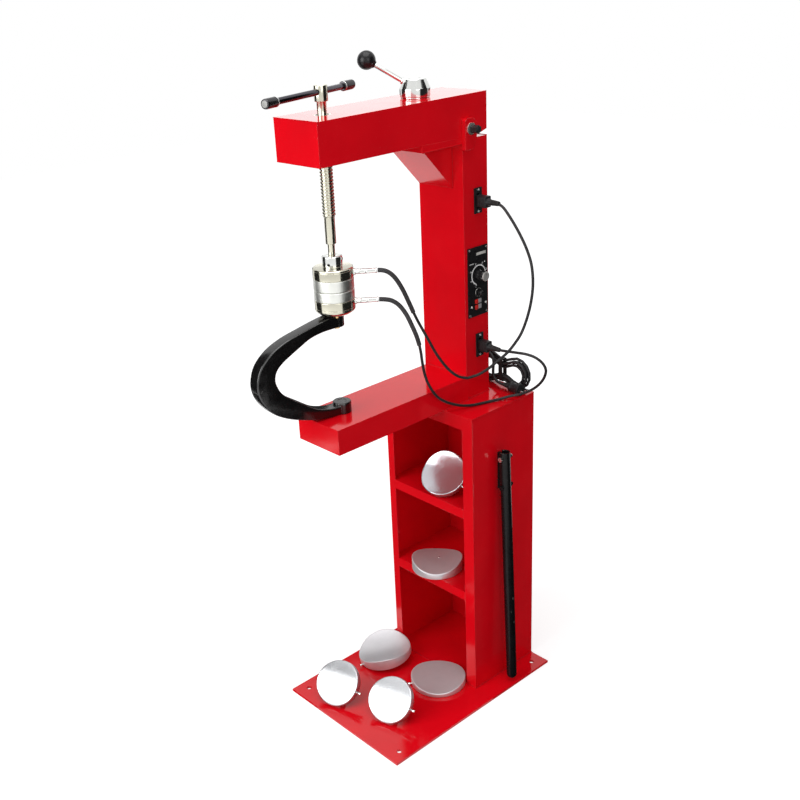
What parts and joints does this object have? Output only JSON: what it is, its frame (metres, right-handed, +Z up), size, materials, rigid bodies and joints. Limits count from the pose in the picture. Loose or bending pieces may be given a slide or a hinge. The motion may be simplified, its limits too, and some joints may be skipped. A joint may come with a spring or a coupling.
{
  "type": "tire vulcanizing machine",
  "caption": "Floor-standing hot press: open cabinet, column, hinged upper arm with a screw that lowers a round heater onto a heater on a swinging bow, plus loose curved pads.",
  "frame": {"origin": "centre of the four floor bolt holes, on the underside of the base plate", "axes": "+Z up, -Y the front where the arms point, +X the side with the controls"},
  "size_m": [0.4372, 0.6947, 1.584],
  "materials": {
    "red_paint": "gloss enamel",
    "black_paint": "satin enamel",
    "black_iron": "painted casting",
    "black_steel": "blackened",
    "zinc_steel": "zinc plated",
    "bright_chrome": "polished",
    "cast_aluminium": "turned and cast",
    "brass": "turned",
    "black_plastic": "fine texture",
    "gloss_black": "moulded",
    "red_plastic": "moulded",
    "ceramic": "ceramic",
    "cord_rubber": "satin",
    "sleeve_braid": "braided sleeve",
    "element_mica": "mica"
  },
  "bodies": {
    "stand": {"base_plate": "red_paint", "cabinet_walls": "red_paint", "cabinet_top": "red_paint", "front_frame": "red_paint", "shelves": "red_paint", "lower_arm": "red_paint", "locating_pin": "zinc_steel", "column": "red_paint", "gusset": "red_paint", "seat_plate": "red_paint", "pivot_ears": "red_paint", "pivot_bolt": "black_steel", "clamp_stud": "zinc_steel", "control_panel": "black_plastic", "panel_screws": "bright_chrome", "control_bodies": "black_plastic", "terminal_block": "ceramic", "sockets": "black_plastic", "plug_upper": "black_plastic", "plug_lower": "black_plastic", "upper_lead": "cord_rubber", "lower_lead": "cord_rubber", "upper_sleeve": "sleeve_braid", "lower_sleeve": "sleeve_braid", "mains_gland": "black_plastic", "mains_lead": "cord_rubber", "mains_hank": "cord_rubber", "hank_tie": "cord_rubber", "mains_plug": "black_plastic", "bar_lug": "black_paint", "bar_pivot_bolt": "zinc_steel"},
    "upper_arm": {"upper_beam": "red_paint", "spindle_nut": "zinc_steel"},
    "clamp_lever": {"clamp_hub": "bright_chrome", "clamp_rod": "bright_chrome", "clamp_ball": "gloss_black"},
    "press_head": {"swivel_collar": "bright_chrome", "upper_heater_cap": "bright_chrome", "upper_heater_plate": "cast_aluminium", "upper_element": "element_mica"},
    "screw": {"spindle": "bright_chrome"},
    "tommy": {"tommy_bar": "black_steel", "tommy_knobs": "gloss_black"},
    "heater_bow": {"bow": "black_iron", "lower_heater_cap": "bright_chrome", "lower_heater_plate": "cast_aluminium", "lower_element": "element_mica", "heater_bolt": "brass"},
    "timer": {"timer_knob": "gloss_black"},
    "fuse": {"fuse_cap": "gloss_black"},
    "switch_upper": {"rocker_upper": "red_plastic"},
    "switch_lower": {"rocker_lower": "red_plastic"},
    "prop": {"support_bar": "black_paint"},
    "pad_a": {"pad_shelf_upper": "cast_aluminium"},
    "pad_b": {"pad_shelf_lower": "cast_aluminium"},
    "pad_c": {"pad_floor_left": "cast_aluminium"},
    "pad_d": {"pad_floor_right": "cast_aluminium"},
    "pad_e": {"pad_front_left": "cast_aluminium"},
    "pad_f": {"pad_front_right": "cast_aluminium"}
  },
  "joints": [
    {"name": "arm_tilt", "type": "hinge", "parent": "stand", "child": "upper_arm", "pos_m": [-0.018, 0.1558, 1.409], "axis": [-1, 0, 0], "range_deg": [0, 1]},
    {"name": "clamp_turn", "type": "hinge", "parent": "upper_arm", "child": "clamp_lever", "pos_m": [-0.018, 0.0688, 1.4845], "axis": [0, 0, 1], "range_deg": [0, 180]},
    {"name": "head_travel", "type": "slide", "parent": "upper_arm", "child": "press_head", "axis": [0, 0, 1], "range_m": [0, 0.115]},
    {"name": "spindle_turn", "type": "hinge", "parent": "press_head", "child": "screw", "pos_m": [-0.018, -0.1932, 1.18], "axis": [0, 0, 1], "range_deg": [0, 5914]},
    {"name": "tommy_slide", "type": "slide", "parent": "screw", "child": "tommy", "axis": [0.2419, -0.9703, 0], "range_m": [-0.128, 0.06]},
    {"name": "bow_swing", "type": "hinge", "parent": "stand", "child": "heater_bow", "pos_m": [-0.018, -0.1932, 0.8303], "axis": [0, 0, 1], "range_deg": [-30, 30]},
    {"name": "timer_turn", "type": "hinge", "parent": "stand", "child": "timer", "pos_m": [0.054, 0.18428, 1.07177], "axis": [-1, 0, 0], "range_deg": [0, 270]},
    {"name": "fuse_turn", "type": "hinge", "parent": "stand", "child": "fuse", "pos_m": [0.054, 0.18362, 1.02944], "axis": [1, 0, 0], "range_deg": [0, 90]},
    {"name": "switch_upper_rock", "type": "hinge", "parent": "stand", "child": "switch_upper", "pos_m": [0.054, 0.179, 1.00968], "axis": [0, 0, -1], "range_deg": [0, 18]},
    {"name": "switch_lower_rock", "type": "hinge", "parent": "stand", "child": "switch_lower", "pos_m": [0.054, 0.179, 0.99608], "axis": [0, 0, -1], "range_deg": [0, 18]},
    {"name": "prop_swing", "type": "hinge", "parent": "stand", "child": "prop", "pos_m": [0.164, 0.1493, 0.646], "axis": [0, -1, 0], "range_deg": [0, 85]},
    {"name": "pad_a_pull", "type": "slide", "parent": "stand", "child": "pad_a", "axis": [0, -1, 0], "range_m": [0, 0.2]},
    {"name": "pad_b_pull", "type": "slide", "parent": "stand", "child": "pad_b", "axis": [0, -1, 0], "range_m": [0, 0.2]},
    {"name": "pad_c_lift", "type": "slide", "parent": "stand", "child": "pad_c", "axis": [0, 0, 1], "range_m": [0, 0.15]},
    {"name": "pad_d_lift", "type": "slide", "parent": "stand", "child": "pad_d", "axis": [0, 0, 1], "range_m": [0, 0.15]},
    {"name": "pad_e_lift", "type": "slide", "parent": "stand", "child": "pad_e", "axis": [0, 0, 1], "range_m": [0, 0.15]},
    {"name": "pad_f_lift", "type": "slide", "parent": "stand", "child": "pad_f", "axis": [0, 0, 1], "range_m": [0, 0.15]}
  ],
  "couplings": [
    {"joint": "head_travel", "follows": "spindle_turn", "m_per_rad": 0.0011141}
  ]
}
